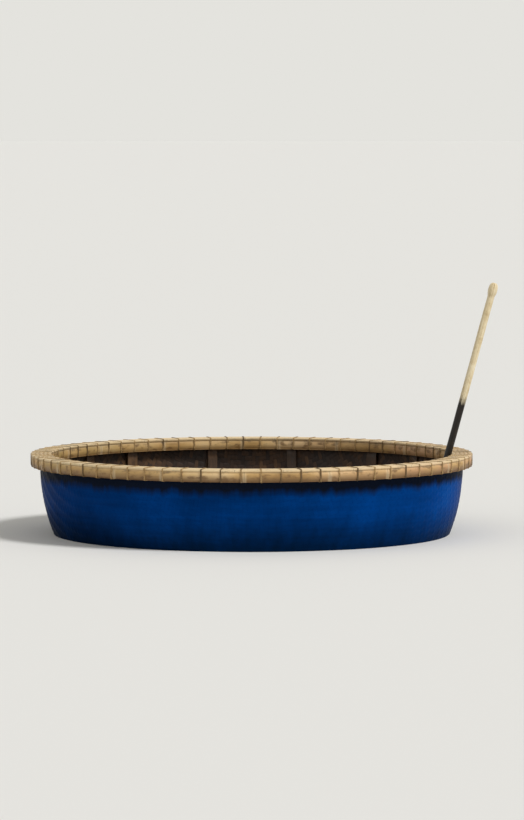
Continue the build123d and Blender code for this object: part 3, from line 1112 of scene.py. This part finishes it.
def carveBlade():
    # a flat board with a round tip and sloping shoulders, thinned from its middle to its edges
    half, neck, radius = paddle["bladeWidth"] / 2, paddle["neckWidth"] / 2, paddle["tipRadius"]
    neckStart = paddle["bladeLength"] - paddle["neckLength"]
    shoulder = neckStart - paddle["shoulderLength"]

    def halfWidth(z):
        if z < radius:
            return min(half, sqrt(max(0.0, radius ** 2 - (z - radius) ** 2)))
        bend = smoothStep(z, shoulder, neckStart)
        return half + (neck - half) * bend

    rows = [radius * (1 - cos(turn)) for turn in steps(0.14, pi / 2, 0.16)]
    rows += steps(radius + 0.02, shoulder, 0.03) + steps(shoulder, neckStart, 0.007)[1:]
    rows += steps(neckStart, paddle["bladeLength"] - 0.0004, 0.016)[1:]
    bpy.ops.mesh.primitive_plane_add(size=1, location=(0, 0, rows[0]), rotation=(0, pi / 2, 0),
                                     enter_editmode=True)
    blade = current('paddleBlade')
    # the plane's upper and lower edges close up into the tip's first row
    selectAll()
    bpy.ops.transform.resize(value=(1, 2 * halfWidth(rows[0]), 0), center_override=(0, 0, rows[0]))
    bpy.ops.mesh.remove_doubles(threshold=1e-5)
    selectAll()
    bpy.ops.mesh.subdivide(number_cuts=11)
    bpy.ops.mesh.select_mode(type='EDGE')
    selectAll()
    for z0, z1 in zip(rows, rows[1:]):
        drawUp(bpy.ops.mesh.extrude_edges_move, z0, z1, (1, halfWidth(z1) / halfWidth(z0)))
    enter('OBJECT')
    middle, thin = blade.vertex_groups.new(name='middle'), paddle["bladeThin"]
    for vertex in blade.data.vertices:
        wide = halfWidth(vertex.co.z)
        across = min(1.0, abs(vertex.co.y) / wide)
        if vertex.co.z > neckStart:
            middle.add([vertex.index], 1.0, 'REPLACE')
        else:
            rise = smoothStep(vertex.co.z, 0.0, 0.10)
            full = (1 - across ** 2) * (0.45 + 0.55 * rise)
            middle.add([vertex.index], thin + (1 - thin) * full, 'REPLACE')
    finishWith(blade, 'SOLIDIFY', thickness=paddle["bladeThickness"], offset=0.0, vertex_group='middle')
    finishWith(blade, 'BEVEL', width=paddle["bladeEdge"], segments=2, limit_method='ANGLE',
               angle_limit=radians(55))
    return blade


def bindPaddle():
    # two seizings of thin cord round the cheeks of the slot
    cords = []
    for drop in paddle["bindingDrops"]:
        centre = paddle["bladeLength"] - drop
        ring = paddle["shaftRadius"] + 0.0003 + paddle["bindingCord"] / 2
        count = 16 * paddle["bindingTurns"]
        points = []
        for i in range(count + 1):
            turn = 2 * pi * i / 16
            rise = (i / count - 0.5) * (paddle["bindingCord"] * (paddle["bindingTurns"] - 0.4))
            # control points stand a little outside the ring that the spline draws
            points.append((ring * 1.02 * cos(turn), ring * 1.02 * sin(turn), centre + rise))
        cords.append(windCord('binding', points, paddle["bindingCord"], 2))
    return joined(cords, 'paddleBindings')


def shaftGrain(place, centre):
    return (place.z, unrolled(atan2(place.y, place.x), atan2(centre.y, centre.x)) * 0.012)


def bladeGrain(place, _):
    return (place.z, place.y + place.x * 0.3)


leanOver = Matrix.Translation(paddle["place"]) @ Matrix.Rotation(radians(paddle["lean"]), 4, 'Y')
paddleWood = scrubbedPaddleWood()
for piece, node, grain, slotName, material in (
        (turnShaft(), 'paddle_shaft', shaftGrain, 'paddle_wood', paddleWood),
        (carveBlade(), 'paddle_blade', bladeGrain, 'paddle_wood', paddleWood),
        (bindPaddle(), 'paddle_bindings', None, 'lashing_cord', lashMaterial)):
    if grain:
        mapGrain(piece, grain)
    piece.data.transform(leanOver)
    settle(piece, 'paddle', slotName, [node], material)
print("paddle carved")

# studio: a pale floor at the waterline with a hole the size of the hull, soft light, a far camera
studio = {
    "floorReach": 900.0,
    "floorHole": 0.852,      # inside the skin's thickness at the waterline
    "floorTone": '#E8E7E4',
    "skyTone": '#E4E3DE',
    "ambient": 0.50,
    "keyPower": 2.2,
    "keyTurn": (56.0, 48.0),     # degrees round from the camera to its right, and up
    "keySoftness": 14.0,
    "fillPower": 0.35,
    "fillTurn": (-55.0, 28.0),
    "fillSoftness": 70.0,
    "elevation": 3.8,
    "distance": 18.0,
    "framedHeight": 3.54,
    "sensorWidth": 36.0,
    "aim": (0.045, 0.0, 0.74),
}


def layFloor():
    material, add = newMaterial('paleStudioFloor')
    shader = add('BsdfPrincipled', {
        'Base Color': studio["floorTone"], 'Roughness': 0.85, 'Specular IOR Level': 0.3})
    # from below the floor isn't there, so the whole hull can be seen
    under = add('NewGeometry', out='Backfacing')
    add('OutputMaterial', {'Surface': add('MixShader', (under, shader, add('BsdfTransparent')))})
    bpy.ops.mesh.primitive_circle_add(
        vertices=216, radius=studio["floorHole"], location=(0, 0, hull["waterline"]), enter_editmode=True)
    selectAll()
    size = studio["floorReach"] / studio["floorHole"]
    drawUp(bpy.ops.mesh.extrude_edges_move, hull["waterline"], hull["waterline"], (size, size))
    floor = current('studioFloor')
    enter('OBJECT')
    if floor.data.polygons[0].normal.z < 0:
        floor.data.flip_normals()
    floor.data.materials.append(material)


def lightStudio():
    world = bpy.data.worlds.new('paleSky')
    bpy.context.scene.world = world
    world.use_nodes = True
    world.node_tree.nodes.clear()
    add = partial(addNode, world.node_tree)
    # the pale sky is what the camera, a gloss or a clear thing sees, and its light is lower
    seen = add('LightPath', out='Is Camera Ray')
    rays = seen.node.outputs
    for ray in ('Is Glossy Ray', 'Is Transmission Ray'):
        seen = add('Math', (seen, rays[ray]), operation='MAXIMUM')
    strength = add('MapRange', (seen, 0.0, 1.0, studio["ambient"]))
    sky = add('Background', {'Color': studio["skyTone"], 'Strength': strength})
    add('OutputWorld', {'Surface': sky})
    for name in ('key', 'fill'):
        turn, rise = (radians(angle) for angle in studio[f'{name}Turn'])
        place = Vector((sin(turn) * cos(rise), -cos(turn) * cos(rise), sin(rise)))
        bpy.ops.object.light_add(
            type='SUN', location=place * 6, rotation=place.to_track_quat('Z', 'Y').to_euler())
        lamp = bpy.context.object
        lamp.name = f'{name}Light'
        lamp.data.angle = radians(studio[f'{name}Softness'])
        lamp.data.energy = studio[f'{name}Power']


def placeCamera():
    aim = Vector(studio["aim"])
    rise = radians(studio["elevation"])
    place = aim + studio["distance"] * Vector((0, -cos(rise), sin(rise)))
    bpy.ops.object.camera_add(location=place, rotation=(pi / 2 - rise, 0, 0))
    camera = bpy.context.object
    camera.data.sensor_width = studio["sensorWidth"]
    camera.data.lens = studio["sensorWidth"] * studio["distance"] / studio["framedHeight"]
    camera.data.clip_end = 2000
    bpy.context.scene.camera = camera


layFloor()
lightStudio()
placeCamera()
bpy.context.scene.view_settings.view_transform = 'Standard'
print("studio ready")
